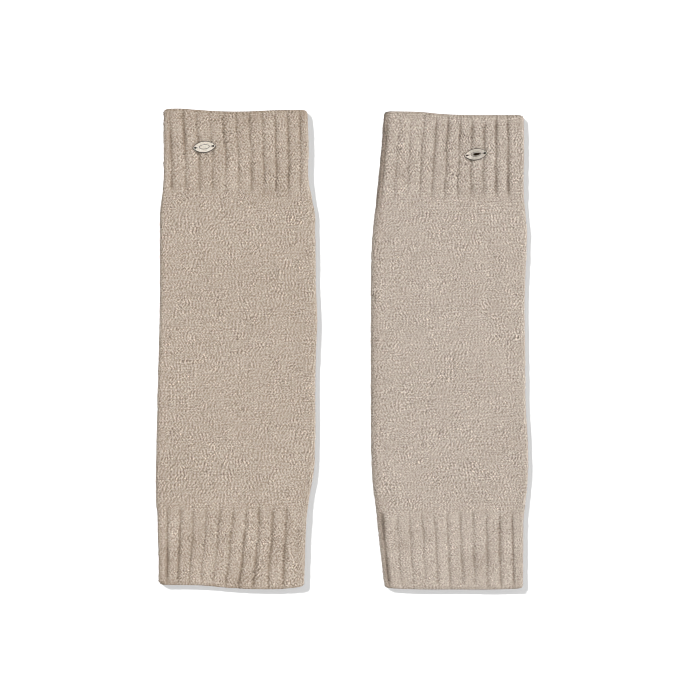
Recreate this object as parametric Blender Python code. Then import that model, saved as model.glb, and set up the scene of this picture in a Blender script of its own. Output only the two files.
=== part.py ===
"""A pair of knitted leg warmers, laid flat side by side and seen from above.

Each leg warmer is one flattened tube of thick knit in three stretches: a ribbed upper cuff, a plain
leg and a ribbed lower cuff. A small metal plate with two sewing holes lies on each upper cuff.

The frame has +Z up and +Y towards the upper cuffs. Its origin is on the table, under the middle of
the pair. All sizes below are in millimetres, and new_object turns them into metres.
"""

from collections import namedtuple

import bmesh
import bpy
import numpy as np

MM = 0.001                   # metres in a millimetre

# The cloth
WALL = 3.0                   # one layer of the plain knit
HOLLOW = 0.6                 # flat hollow between the two layers of the laid tube
FOLD_WALL = 2.2              # the knit is drawn thinner round the side folds
RIB_RISE = 1.0               # crown of a rib above the plain knit
GROOVE_DROP = 1.2            # bottom of a groove below the plain knit
RIB_FADE = 9.0               # length over which the ribs run out into the leg
END_FADE = 6.0               # length over which they grow from the bound-off edge
END_STRENGTH = 0.45          # their share of the full form at that edge
RIB_SQUARENESS = 2.6         # the higher, the flatter a rib's crown and the narrower its groove
CORNER_RADIUS = 4.2          # a tube's corners, seen from above
EDGE_ROLL = 1.2              # how far the top surface dips at a tube's free end
ROLL_LENGTH = 2.2            # and over what length
SEAM_GAP = 0.3               # between a cuff and the leg

PLAIN_HEIGHT = 2 * WALL + HOLLOW
CROWN_HEIGHT = PLAIN_HEIGHT + RIB_RISE

# How finely the surfaces are stepped
UNDERSIDE_STEPS = 4
FOLD_STEPS = 6
LEG_COLUMNS = 24
LEG_ROWS = 24
HOLLOW_ROWS = 7
COLUMNS_PER_HOLLOW_STEP = 4
RIB_STEPS = (0.14, 0.36, 0.64, 0.86)              # places across a rib, from groove to groove
FOLD_RIB_STEPS = (0.5, 0.3)                       # and across the rib that turns round a side fold
CUFF_ROWS = (0.0, ROLL_LENGTH / 3, ROLL_LENGTH, CORNER_RADIUS, END_FADE, 26.0, 48.0)   # from the free end
CUFF_HOLLOW_ROWS = (0, 3, 5, 6, -1)               # of a cuff's rows, those that the hollow has too

# The sewn-on plates
PLATE_POINTS = 24            # round the outline
PLATE_CLEARANCE = 0.3        # between a plate and the crowns of the ribs under it
PLATE_HOLE_OFFSET = 8.5      # from the middle to each sewing hole
PLATE_HOLE_RADIUS = 0.65
PLATE_HOLE_POINTS = 10
CUTTER_REACH = 3.0           # how far a hole's cutter stands out above and below the plate

# Rows of the tables, each with its columns' names. Lengths are measured in the frame above.
Outline = namedtuple("Outline", "y left right")                 # side folds, seen from above
EndEdge = namedtuple("EndEdge", "across y")                     # across: 0 at the left, 1 at the right
Grooves = namedtuple("Grooves", "y first pitch widening")       # the pitch grows by widening a groove
Crease = namedtuple("Crease", "x_low y_low x_high y_high half_width depth")   # below 0: a ridge
PlateRing = namedtuple("PlateRing", "half_length half_width sharpness height")
PlatePlace = namedtuple("PlatePlace", "x y turn")
Cuff = namedtuple("Cuff", "groove_count seam_y end_edge grooves")
LegWarmer = namedtuple("LegWarmer", "outline creases lower_cuff upper_cuff plate")

LEFT = LegWarmer(
    outline=(
        Outline(-225.0, -172.4, -35.7),
        Outline(-196.0, -172.8, -34.8),
        Outline(-168.0, -173.5, -33.8),
        Outline(-140.0, -174.3, -30.9),
        Outline(-112.0, -174.4, -26.3),
        Outline(-84.0, -173.6, -25.3),
        Outline(-28.0, -172.5, -25.1),
        Outline(0.0, -171.6, -24.4),
        Outline(29.0, -170.8, -23.4),
        Outline(57.0, -170.6, -24.6),
        Outline(110.0, -170.6, -25.2),
        Outline(127.0, -170.4, -25.6),
        Outline(141.0, -169.0, -28.1),
        Outline(156.0, -168.0, -30.8),
        Outline(190.0, -167.8, -31.0),
        Outline(225.0, -167.6, -32.2),
    ),
    creases=(
        Crease(-45.0, -112.0, -47.0, 98.0, 8.0, 0.75),
        Crease(-33.0, -60.0, -31.0, 86.0, 5.0, -0.30),
        Crease(-126.0, 96.0, -84.0, 128.0, 9.0, 0.35),
        Crease(-152.0, -128.0, -128.0, -72.0, 8.0, 0.35),
    ),
    lower_cuff=Cuff(
        groove_count=11,
        seam_y=-144.4,
        end_edge=(
            EndEdge(0.0, -221.0),
            EndEdge(0.30, -221.6),
            EndEdge(0.49, -223.8),
            EndEdge(0.68, -225.0),
            EndEdge(0.90, -224.5),
            EndEdge(1.0, -223.0),
        ),
        grooves=(
            Grooves(-212.0, -164.1, 10.1, 0.22),
            Grooves(-165.0, -164.1, 11.4, 0.12),
        ),
    ),
    upper_cuff=Cuff(
        groove_count=11,
        seam_y=141.2,
        end_edge=(
            EndEdge(0.0, 225.0),
            EndEdge(0.08, 225.3),
            EndEdge(0.20, 224.2),
            EndEdge(0.35, 222.9),
            EndEdge(0.60, 222.6),
            EndEdge(0.77, 223.6),
            EndEdge(1.0, 224.1),
        ),
        grooves=(
            Grooves(169.0, -159.4, 13.0, -0.09),
            Grooves(206.0, -161.3, 12.9, -0.07),
        ),
    ),
    plate=PlatePlace(-128.8, 189.0, 6.0),
)

RIGHT = LegWarmer(
    outline=(
        Outline(-225.0, 40.3, 169.6),
        Outline(-186.0, 35.8, 169.7),
        Outline(-157.0, 32.6, 170.2),
        Outline(-143.0, 30.9, 171.8),
        Outline(-129.0, 29.1, 173.4),
        Outline(-112.0, 28.0, 174.4),
        Outline(-87.0, 27.3, 174.1),
        Outline(-59.0, 27.2, 172.4),
        Outline(0.0, 27.2, 171.5),
        Outline(39.0, 27.2, 171.1),
        Outline(67.0, 27.4, 171.8),
        Outline(96.0, 28.1, 173.0),
        Outline(110.0, 29.0, 173.4),
        Outline(124.0, 30.5, 172.0),
        Outline(138.0, 32.0, 170.8),
        Outline(194.0, 37.4, 170.6),
        Outline(222.0, 39.6, 170.2),
    ),
    creases=(
        Crease(137.5, -60.0, 136.0, 132.0, 3.5, 0.70),
        Crease(159.0, -134.0, 156.5, 40.0, 8.0, 0.75),
        Crease(149.0, 112.0, 158.0, 130.0, 7.0, 0.60),
        Crease(38.0, -122.0, 36.0, -82.0, 5.0, 0.45),
        Crease(51.0, -96.0, 50.0, 90.0, 7.0, -0.30),
    ),
    lower_cuff=Cuff(
        groove_count=10,
        seam_y=-149.0,
        end_edge=(
            EndEdge(0.0, -224.2),
            EndEdge(0.15, -225.0),
            EndEdge(0.50, -225.3),
            EndEdge(0.85, -225.2),
            EndEdge(1.0, -224.6),
        ),
        grooves=(
            Grooves(-214.0, 55.3, 11.25, 0.06),
            Grooves(-167.0, 52.5, 11.5, 0.05),
        ),
    ),
    upper_cuff=Cuff(
        groove_count=10,
        seam_y=137.0,
        end_edge=(
            EndEdge(0.0, 222.8),
            EndEdge(0.26, 221.9),
            EndEdge(0.40, 220.2),
            EndEdge(0.56, 219.3),
            EndEdge(1.0, 219.3),
        ),
        grooves=(
            Grooves(155.6, 49.7, 11.7, 0.0),
            Grooves(202.5, 53.4, 11.25, 0.0),
        ),
    ),
    plate=PlatePlace(125.2, 182.1, 7.6),
)

# From the underside's rim over the bevelled edge and the raised oval to the level middle.
PLATE_RINGS = (
    PlateRing(10.6, 5.0, 0.55, 0.0),
    PlateRing(11.15, 5.5, 0.55, 0.15),
    PlateRing(11.15, 5.5, 0.55, 0.5),
    PlateRing(10.5, 5.0, 0.55, 0.8),
    PlateRing(5.4, 3.1, 0.1, 0.9),
    PlateRing(4.9, 2.7, 0.0, 1.2),
    PlateRing(4.5, 2.4, 0.0, 1.2),
    PlateRing(4.1, 2.1, 0.0, 0.9),
)

Finish = namedtuple("Finish", "colour roughness metallic")
FINISHES = {
    "left_knit": Finish((0.50, 0.41, 0.33), 0.95, 0.0),
    "right_knit": Finish((0.52, 0.44, 0.36), 0.95, 0.0),
    "plate_metal": Finish((0.80, 0.76, 0.70), 0.25, 1.0),
}


def smooth(rows, column, along, at):
    """The value of a table's column where its column along is at: cubic pieces through the rows."""
    places = np.array([getattr(row, along) for row in rows])
    values = np.array([getattr(row, column) for row in rows])
    slopes = np.gradient(values, places)
    at = np.clip(at, places[0], places[-1])
    piece = np.clip(np.searchsorted(places, at) - 1, 0, len(places) - 2)
    step = places[piece + 1] - places[piece]
    t = (at - places[piece]) / step
    return (values[piece] * (1 + 2 * t) * (1 - t) ** 2
            + values[piece + 1] * (3 - 2 * t) * t ** 2
            + slopes[piece] * step * t * (1 - t) ** 2
            - slopes[piece + 1] * step * t ** 2 * (1 - t))


def ease(t):
    """0 below 0, 1 above 1, and a smooth rise between."""
    t = np.clip(t, 0.0, 1.0)
    return t * t * (3 - 2 * t)


def side_folds(warmer, y):
    """The x of the left and the right side fold at y."""
    return smooth(warmer.outline, "left", "y", y), smooth(warmer.outline, "right", "y", y)


def draw_in(x, left, right, from_end):
    """Places across the tube, moved inwards near a free end so that its corners are round."""
    reach = np.clip(CORNER_RADIUS - from_end, 0.0, CORNER_RADIUS)
    inset = CORNER_RADIUS - np.sqrt(CORNER_RADIUS ** 2 - reach ** 2)
    across = (x - left) / (right - left)
    return x + inset * ((1 - across) ** 3 - across ** 3)


def groove_lines(cuff, y):
    """The x of each groove at y: both rows of the table, extended in a straight line."""
    number = np.arange(cuff.groove_count)
    low, high = [row.first + (row.pitch + row.widening * number) * number for row in cuff.grooves]
    t = (y - cuff.grooves[0].y) / (cuff.grooves[1].y - cuff.grooves[0].y)
    return low + (high - low) * t


def rib_form(phase):
    """Height across a rib, 0 in the grooves at phase 0 and 1, and 1 on the crown between them."""
    return 1 - np.abs(2 * phase - 1) ** RIB_SQUARENESS


def crease_depth(creases, x, y):
    """How far the creases lower the top at x, y: a soft trough along each crease's line."""
    depth = np.zeros_like(x)
    for crease in creases:
        t = (y - crease.y_low) / (crease.y_high - crease.y_low)
        line_x = crease.x_low + (crease.x_high - crease.x_low) * t
        along = np.clip(4 * t * (1 - t), 0.0, 1.0)
        across = np.exp(-((x - line_x) / crease.half_width) ** 2)
        depth += crease.depth * ease(along) * across
    return depth


def round_the_tube(left, right, top_x, top_z, fold_height):
    """One outer ring (x, z): level underside, right fold, top and left fold."""
    radius = fold_height / 2
    underside = np.linspace(left + radius, right - radius, UNDERSIDE_STEPS + 1)
    turn = np.pi * np.arange(1, FOLD_STEPS) / FOLD_STEPS
    right_fold = np.stack([right - radius + radius * np.sin(turn), radius - radius * np.cos(turn)], 1)
    left_fold = right_fold[::-1] * (-1, 1) + (left + right, 0)
    return np.concatenate([
        np.stack([underside, np.zeros_like(underside)], 1),
        right_fold,
        np.stack([top_x, top_z], 1),
        left_fold,
    ])


def hollow_ring(ring, picks):
    """The flat hollow's ring (x, z), with a point opposite each picked point of an outer ring.

    It stays halfway up, pointed at both folds, and so is plain whatever the outer side does.
    """
    left = ring[:, 0].min() + FOLD_WALL
    right = ring[:, 0].max() - FOLD_WALL
    x = np.clip(ring[picks, 0], left, right)
    from_fold = np.minimum(x - left, right - x)
    half_gap = HOLLOW / 2 * ease(from_fold / WALL)
    side = np.where(np.arange(len(picks)) <= UNDERSIDE_STEPS, -1, 1)
    return np.stack([x, WALL + HOLLOW / 2 + side * half_gap], 1)


def hollow_picks(ring_length):
    """Places in an outer ring that the hollow's points stand opposite to."""
    first_top = UNDERSIDE_STEPS + FOLD_STEPS
    last_top = ring_length - FOLD_STEPS
    underside = list(range(UNDERSIDE_STEPS + 1))
    right_tip = [UNDERSIDE_STEPS + FOLD_STEPS // 2]
    top = list(range(first_top, last_top, COLUMNS_PER_HOLLOW_STEP)) + [last_top]
    left_tip = [last_top + FOLD_STEPS // 2]
    return underside + right_tip + top + left_tip


def cuff_ring(warmer, cuff, from_end):
    """A cuff's outer ring at a distance from its free end: ribs on the top, plain underneath."""
    end_y = cuff.end_edge[0].y
    depth = abs(end_y - cuff.seam_y)
    y = end_y + (cuff.seam_y - end_y) * from_end / depth
    folds = side_folds(warmer, y)
    left, right = [draw_in(fold, *folds, from_end) for fold in folds]
    grooves = draw_in(groove_lines(cuff, y), *folds, from_end)
    strength = ease((depth - from_end) / RIB_FADE)
    strength *= END_STRENGTH + (1 - END_STRENGTH) * ease(from_end / END_FADE)
    roll = EDGE_ROLL * (1 - ease(from_end / ROLL_LENGTH))
    crown = PLAIN_HEIGHT + RIB_RISE * strength - roll
    across_ribs = np.concatenate([[0.0], RIB_STEPS])
    inner_x = (grooves[:-1, None] + np.diff(grooves)[:, None] * across_ribs).ravel()
    inner_phase = np.tile(across_ribs, cuff.groove_count - 1)
    first, last = left + crown / 2, right - crown / 2
    x = np.concatenate([[first, (first + grooves[0]) / 2], inner_x,
                        [grooves[-1], (grooves[-1] + last) / 2, last]])
    phase = np.concatenate([FOLD_RIB_STEPS, inner_phase, [0.0], FOLD_RIB_STEPS[::-1]])
    z = crown - (RIB_RISE + GROOVE_DROP) * strength * (1 - rib_form(phase))
    return round_the_tube(left, right, x[::-1], z[::-1], crown)


def leg_ring(warmer, y):
    """The leg's outer ring at y: plain, with the creases on the top."""
    left, right = side_folds(warmer, y)
    x = np.linspace(right - PLAIN_HEIGHT / 2, left + PLAIN_HEIGHT / 2, LEG_COLUMNS + 1)
    z = PLAIN_HEIGHT - crease_depth(warmer.creases, x, y)
    z[[0, -1]] = PLAIN_HEIGHT
    return round_the_tube(left, right, x, z, PLAIN_HEIGHT)


def across_tube(ring, seam_y, end_edge, from_seam):
    """Points (x, y, z) of a cuff's ring: from_seam is 0 at the seam and 1 at the free end's edge."""
    x, z = ring.T
    end_y = smooth(end_edge, "y", "across", (x - x.min()) / (x.max() - x.min()))
    return np.stack([x, seam_y + (end_y - seam_y) * from_seam, z], 1)


def level(ring, y):
    """Points (x, y, z) of a ring that is cut straight across the tube."""
    return np.insert(ring, 1, y, axis=1)


def tube_mesh(outer_rows, inner_rows, picks):
    """A closed wall between an outer skin and the hollow, both lists of rings of points."""
    mesh = bmesh.new()

    def skin(rows):
        rings = [[mesh.verts.new(point * MM) for point in row] for row in rows]
        for ring, next_ring in zip(rings, rings[1:]):
            for i in range(len(ring)):
                mesh.faces.new((ring[i - 1], ring[i], next_ring[i], next_ring[i - 1]))
        return rings

    outer = skin(outer_rows)
    inner = skin(inner_rows)
    for outer_ring, inner_ring in ((outer[0], inner[0]), (outer[-1], inner[-1])):
        for i, pick in enumerate(picks):
            past = picks[(i + 1) % len(picks)]
            stretch = range(pick, past + 1 if past > pick else past + 1 + len(outer_ring))
            rim = [outer_ring[place % len(outer_ring)] for place in stretch]
            mesh.faces.new(rim + [inner_ring[(i + 1) % len(picks)], inner_ring[i]])
    bmesh.ops.recalc_face_normals(mesh, faces=mesh.faces)
    return mesh


def new_object(name, mesh, finish):
    """An object with this mesh, shaded smooth but for its sharp edges."""
    data = bpy.data.meshes.new(name)
    mesh.to_mesh(data)
    mesh.free()
    data.shade_smooth()
    data.set_sharp_from_angle(angle=np.radians(40))
    data.materials.append(material(finish))
    piece = bpy.data.objects.new(name, data)
    bpy.context.scene.collection.objects.link(piece)
    return piece


def material(finish):
    """The Principled material of a finish, made once."""
    made = bpy.data.materials.get(finish)
    if made is None:
        made = bpy.data.materials.new(finish)
        made.use_nodes = True
        shader = made.node_tree.nodes["Principled BSDF"]
        shader.inputs["Base Color"].default_value = (*FINISHES[finish].colour, 1.0)
        shader.inputs["Roughness"].default_value = FINISHES[finish].roughness
        shader.inputs["Metallic"].default_value = FINISHES[finish].metallic
    return made


def make_cuff(name, warmer, cuff, finish):
    """A ribbed cuff, from its free end to the gap at its seam with the leg."""
    inward = np.sign(cuff.seam_y)
    seam = cuff.seam_y + inward * SEAM_GAP / 2
    depth = abs(cuff.end_edge[0].y - cuff.seam_y)
    steps = CUFF_ROWS + (depth - RIB_FADE, depth - RIB_FADE / 2, depth)
    rings = [cuff_ring(warmer, cuff, from_end) for from_end in steps]
    picks = hollow_picks(len(rings[0]))
    outer = [across_tube(ring, seam, cuff.end_edge, 1 - from_end / depth)
             for ring, from_end in zip(rings, steps)]
    inner = [across_tube(hollow_ring(rings[i], picks), seam, cuff.end_edge, 1 - steps[i] / depth)
             for i in CUFF_HOLLOW_ROWS]
    return new_object(name, tube_mesh(outer, inner, picks), finish)


def make_leg(name, warmer, finish):
    """The plain leg, from the gap at one cuff to the gap at the other."""
    low = warmer.lower_cuff.seam_y + SEAM_GAP / 2
    high = warmer.upper_cuff.seam_y - SEAM_GAP / 2
    outer_y = np.linspace(low, high, LEG_ROWS + 1)
    inner_y = np.linspace(low, high, HOLLOW_ROWS + 1)
    picks = hollow_picks(len(leg_ring(warmer, low)))
    outer = [level(leg_ring(warmer, y), y) for y in outer_y]
    inner = [level(hollow_ring(leg_ring(warmer, y), picks), y) for y in inner_y]
    return new_object(name, tube_mesh(outer, inner, picks), finish)


def plate_ring_points(ring):
    """A ring of a plate's surface: an ellipse, drawn to a point at both ends by its sharpness."""
    turn = 2 * np.pi * np.arange(PLATE_POINTS) / PLATE_POINTS
    width = ring.half_width * np.sin(turn) * np.abs(np.sin(turn)) ** ring.sharpness
    return np.stack([ring.half_length * np.cos(turn), width, np.full_like(turn, ring.height)], 1)


def make_plate(name, warmer):
    """A metal plate just above the crowns of the upper cuff's ribs, with its holes cut through."""
    mesh = bmesh.new()
    rings = [[mesh.verts.new(point * MM) for point in plate_ring_points(ring)] for ring in PLATE_RINGS]
    for ring, next_ring in zip(rings, rings[1:]):
        for i in range(PLATE_POINTS):
            mesh.faces.new((ring[i - 1], ring[i], next_ring[i], next_ring[i - 1]))
    mesh.faces.new(rings[0])
    mesh.faces.new(rings[-1])
    bmesh.ops.recalc_face_normals(mesh, faces=mesh.faces)
    plate = new_object(name, mesh, "plate_metal")
    place = warmer.plate
    height = CROWN_HEIGHT + PLATE_CLEARANCE
    plate.location = np.array((place.x, place.y, height)) * MM
    plate.rotation_euler.z = np.radians(place.turn)
    for side, word in ((-1, "left"), (1, "right")):
        cutter = sewing_hole(f"{name}_{word}_hole", side * PLATE_HOLE_OFFSET)
        cutter.parent = plate
        cut = plate.modifiers.new(word, "BOOLEAN")
        cut.operation = "DIFFERENCE"
        cut.object = cutter
    return plate


def sewing_hole(name, x):
    """A cutter for one sewing hole: a cylinder through the plate, x along from its middle."""
    mesh = bmesh.new()
    bmesh.ops.create_cone(
        mesh, cap_ends=True, segments=PLATE_HOLE_POINTS, radius1=PLATE_HOLE_RADIUS * MM,
        radius2=PLATE_HOLE_RADIUS * MM, depth=2 * CUTTER_REACH * MM)
    cutter = new_object(name, mesh, "plate_metal")
    cutter.location.x = x * MM
    cutter.hide_render = True
    cutter.display_type = "WIRE"
    return cutter


def main():
    for old in list(bpy.data.objects):
        bpy.data.objects.remove(old)
    for side, warmer in (("left", LEFT), ("right", RIGHT)):
        finish = f"{side}_knit"
        make_cuff(f"{side}_upper_cuff", warmer, warmer.upper_cuff, finish)
        make_leg(f"{side}_leg", warmer, finish)
        make_cuff(f"{side}_lower_cuff", warmer, warmer.lower_cuff, finish)
        make_plate(f"{side}_plate", warmer)


main()
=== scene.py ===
"""A pair of knitted leg warmers laid flat on a white table: the look of the cloth, plates and thread.

Each leg warmer is one flattened knitted tube. Its surface is worked out in stitch coordinates: the
wale, counted round the tube from the left fold, and the course, counted from the lower free end. The
tube's form takes every pair of them to a place, and each of the three stretches, lower cuff, leg and
upper cuff, is a range of courses, so that the stretches meet without a step.

Lengths are millimetres in the tables and in the shape functions, and metres in the meshes. +Y points
to the upper cuffs and +Z up from the table.
"""

from collections import namedtuple

import bpy
import numpy as np
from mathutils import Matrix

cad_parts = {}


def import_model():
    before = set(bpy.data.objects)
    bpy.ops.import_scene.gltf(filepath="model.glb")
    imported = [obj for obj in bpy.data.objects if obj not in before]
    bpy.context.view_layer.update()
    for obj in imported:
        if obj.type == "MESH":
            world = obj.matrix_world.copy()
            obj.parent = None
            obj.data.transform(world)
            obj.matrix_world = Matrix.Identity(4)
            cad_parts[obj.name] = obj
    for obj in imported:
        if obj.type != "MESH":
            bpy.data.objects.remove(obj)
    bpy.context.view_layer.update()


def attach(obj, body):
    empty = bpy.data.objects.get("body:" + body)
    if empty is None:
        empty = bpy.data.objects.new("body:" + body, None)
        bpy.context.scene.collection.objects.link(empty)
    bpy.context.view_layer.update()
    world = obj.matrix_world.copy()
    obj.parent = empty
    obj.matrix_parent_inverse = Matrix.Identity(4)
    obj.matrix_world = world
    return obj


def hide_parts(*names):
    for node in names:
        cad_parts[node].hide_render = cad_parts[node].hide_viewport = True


MM = 0.001

# ---------------------------------------- the cloth's sizes

WALL = 3.0                   # one layer of the plain knit
HOLLOW = 0.6                 # between the two layers of the laid tube
MOUTH = 0.9                  # how much further they part at an open end
MOUTH_DEPTH = 14.0           # and how far in from it
MOUTH_SIDE = 30.0            # how far in from a fold it is open in full
FOLD_WALL = 2.2              # the wall at a fold
RIB_RISE = 1.0               # crown of a rib above the plain knit
GROOVE_DROP = 1.2            # bottom of a groove below it
RIB_FADE = 12.0              # where the ribs run out into the leg
END_STRENGTH = 0.12          # how strong they are at the bound-off edge, from where they grow
RIB_SQUARENESS = 4.0         # above 1 the crowns are wider than the grooves
RIB_REACH = 60.0             # how far into the leg the wales still turn towards a cuff's ribs
GROOVE_LIMITS = (0.6, 1.3)   # of a groove's depth, as a factor
CORNER_RADIUS = 4.2
EDGE_RADIUS = 1.7            # the rounding of a wall's free end
INNER_ROUNDING = 0.88        # how near the inner side comes to the wall's middle there
TOP_FALL = 1.4               # above 1, what is drawn on the top reaches further round the folds
PLAIN_HEIGHT = 2 * WALL + HOLLOW

# ---------------------------------------- the knit

TOP_WALES = 48               # on the upper layer, from fold to fold
ROUND_WALES = 2 * TOP_WALES
RIB_WALES = 4                # two knit and two purl
CUFF_COURSES = 35
LEG_COURSES = 121
SEAM_LOW = CUFF_COURSES
SEAM_HIGH = CUFF_COURSES + LEG_COURSES
ALL_COURSES = 2 * CUFF_COURSES + LEG_COURSES
WALE_WIDTH = 3.0
COURSE_HEIGHT = 2.35
STITCH_RELIEF = 0.80         # crest of a stitch above the gap beside it
STITCH_LEVEL = 0.55          # the height of a stitch, from 0 to 1, that is level with the wall
SIDE_GAP = 0.12              # the least height across a stitch
ROW_GAP = 0.05               # and between two courses
ARM_LEAN = 0.6               # courses that a stitch's arms climb from its middle to its sides
HEIGHT_SPREAD = 0.5          # how much each half stitch's height differs, as a share of it
HEIGHT_SHIFT = 0.3           # and how much it is higher or lower as a whole
CLIMB_SPREAD = 0.22          # how many courses it sits higher or lower
PURL_BELOW = 0.62            # the rib's height, from 0 to 1, below which stitches begin to be purl
PURL_BLEND = 0.2             # and how much lower they are so in full
STEPS_ACROSS = 4             # mesh columns in a wale
STEPS_ALONG = 3              # mesh rows in a course
FINE_UNDER = 3               # wales under each fold that are stepped as finely as the top
END_STEPS = (0.08, 0.18, 0.5)    # courses in from a free end, where the mesh has rows of its own
INNER_END_ROWS = 4           # rows of the inner side at either end of a stretch that are kept
INNER_ROWS = 9               # and between them
FACE_SEED = 5                # of the quads that start at their second corner

# ---------------------------------------- unevenness, painted light and shade, and yarn tone

WAVES = 9                    # sines in an uneven field
Unevenness = namedtuple("Unevenness", "amount period seed")    # seed: added to the leg warmer's own
WIDE_WANDER = Unevenness(0.0022, 26, 0)      # of the wales, as a share of the way over the top
FINE_WANDER = Unevenness(0.0026, 9, 5)
COURSE_WAVE = Unevenness(0.35, 34, 1)        # of the courses, in courses
GROOVE_WAVE = Unevenness(0.25, 42, 4)        # of the grooves' depth, as a share of it
LIE = Unevenness(0.14, 46, 2)                # of the top as it lies, in mm
CUFF_TONE = Unevenness(0.045, 50, 6)         # of the cuffs' light and dark
CUFF_FLATNESS = 0.6          # share of the uneven lie that the cuffs don't have

GROOVE_SHADE = 0.26          # painted shade: how much darker a groove of full depth is than the plain knit
FOLD_SHADE = 0.35            # painted shade on the left fold, turned from the light, at an amount of 1
FOLD_SHADE_WIDTH = 3.6
EDGE_SHADE = 0.34            # painted shade at the very end of a cuff, where it rounds away
EDGE_SHADE_DEPTH = 3.0
END_BAND = 12.0              # where the end_shade of a cuff has fallen to half

# crest weighs the painted light on a stitch's crest and the painted shade in its gaps.
YarnLook = namedtuple("YarnLook", "crest brushed rows_per_course evened")
LEG_YARN = YarnLook(0.25, 0.66, STEPS_ALONG, 0.1)
CUFF_YARN = YarnLook(0.40, 0.42, 1.5, 0.35)
BRUSH_SEED = 7
BRUSH_STRENGTH = (0.2, 1.2)

# ---------------------------------------- the loose fibres, in mm

NAP_PAST_FOLD = 2.5          # wales under each fold that still have fibres
FIBRE_LENGTH = (1.3, 3.4)
FIBRE_RADIUS = (0.028, 0.05)
FIBRE_ROOT = 0.12            # how deep it starts in the cloth
FIBRE_MIDDLE = (0.10, 0.35)  # how high its middle lies, and what is added where it stands up
FIBRE_TIP = (0.06, 1.1)      # the same for its tip
LYING_FIBRES = 5             # the higher, the fewer stand up
FIBRE_FLOOR = 0.05           # the least height above the table
FIBRE_MARGIN = 0.02          # courses that the fibres of a stretch keep from its ends

# ---------------------------------------- tables, a row for a section or fold

Outline = namedtuple("Outline", "y left right")
EndEdge = namedtuple("EndEdge", "across y")
FoldShade = namedtuple("FoldShade", "y amount centre")    # painted shade, its centre this far in from the left fold
Grooves = namedtuple("Grooves", "y first pitch widening")
Crease = namedtuple("Crease", "x_low y_low x_high y_high half_width depth")   # below 0: a ridge
# darkness: how much of the painted dark reflection of STREAK and DULL a plate has.
PlatePlace = namedtuple("PlatePlace", "x y turn darkness")
# Of a cuff: end_fade is how far in from its end the ribs are weaker, groove_relief each groove's depth
# from fold to fold, which also scales its painted shade, pale_crowns how much paler painted
# light makes the crowns, grain how strong the yarn's light and dark is, and end_shade how much darker
# a band at the end is.
Cuff = namedtuple("Cuff", "seam_y end_edge end_fade grooves groove_relief pale_crowns grain end_shade")
LegWarmer = namedtuple("LegWarmer", "outline creases fold_shade lower_cuff upper_cuff plate seed grain")


def rows_of(kind, rows):
    """The rows of a table, their columns named as in this kind."""
    return [kind(*row) for row in rows]


LEFT = LegWarmer(
    outline=rows_of(Outline, [
        (-225.0, -172.4, -35.7),
        (-196.0, -172.8, -34.8),
        (-168.0, -173.5, -33.8),
        (-140.0, -174.3, -30.9),
        (-112.0, -174.4, -26.3),
        (-84.0, -173.6, -25.3),
        (-28.0, -172.5, -25.1),
        (0.0, -171.6, -24.4),
        (29.0, -170.8, -23.4),
        (57.0, -170.6, -24.6),
        (110.0, -170.6, -25.2),
        (127.0, -170.4, -25.6),
        (141.0, -169.0, -28.1),
        (156.0, -168.0, -30.8),
        (190.0, -167.8, -31.0),
        (225.0, -167.6, -32.2),
    ]),
    creases=rows_of(Crease, [
        (-45.0, -112.0, -47.0, 98.0, 8.0, 0.75),
        (-33.0, -60.0, -31.0, 86.0, 5.0, -0.30),
        (-126.0, 96.0, -84.0, 128.0, 9.0, 0.35),
        (-152.0, -128.0, -128.0, -72.0, 8.0, 0.35),
    ]),
    fold_shade=rows_of(FoldShade, [
        (-225.0, 0.9, 0.5),
        (-160.0, 0.7, 0.5),
        (-140.0, 0.1, 0.5),
        (225.0, 0.25, 0.5),
    ]),
    lower_cuff=Cuff(
        seam_y=-144.4,
        end_edge=rows_of(EndEdge, [
            (0.0, -221.0),
            (0.30, -221.6),
            (0.49, -223.8),
            (0.68, -225.0),
            (0.90, -224.5),
            (1.0, -223.0),
        ]),
        end_fade=6.0,
        grooves=rows_of(Grooves, [
            (-226.0, -163.9, 9.7, 0.25),
            (-212.0, -163.9, 10.1, 0.22),
            (-165.0, -163.9, 11.95, 0.042),
            (-144.0, -163.9, 12.5, -0.003),
        ]),
        groove_relief=(1.3, 1.05, 1.03, 0.73, 0.71, 0.69, 0.84, 1.28, 1.32, 0.95, 0.97, 0.0, 0.1),
        pale_crowns=0.04,
        grain=0.95,
        end_shade=0.0,
    ),
    upper_cuff=Cuff(
        seam_y=141.2,
        end_edge=rows_of(EndEdge, [
            (0.0, 225.0),
            (0.08, 225.3),
            (0.20, 224.2),
            (0.35, 222.9),
            (0.60, 222.6),
            (0.77, 223.6),
            (1.0, 224.1),
        ]),
        end_fade=8.0,
        grooves=rows_of(Grooves, [
            (141.0, -160.0, 13.1, -0.10),
            (151.0, -159.8, 13.05, -0.10),
            (167.0, -159.7, 13.0, -0.09),
            (206.0, -161.3, 12.9, -0.07),
            (226.0, -162.3, 12.85, -0.06),
        ]),
        groove_relief=(0.9, 0.95, 0.98, 0.83, 0.70, 0.86, 0.62, 0.89, 0.82, 0.82, 0.85, 0.77, 0.3),
        pale_crowns=0.02,
        grain=0.85,
        end_shade=0.085,
    ),
    plate=PlatePlace(-128.8, 189.0, 6.0, 0.0),
    seed=11,
    grain=1.0,
)

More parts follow.
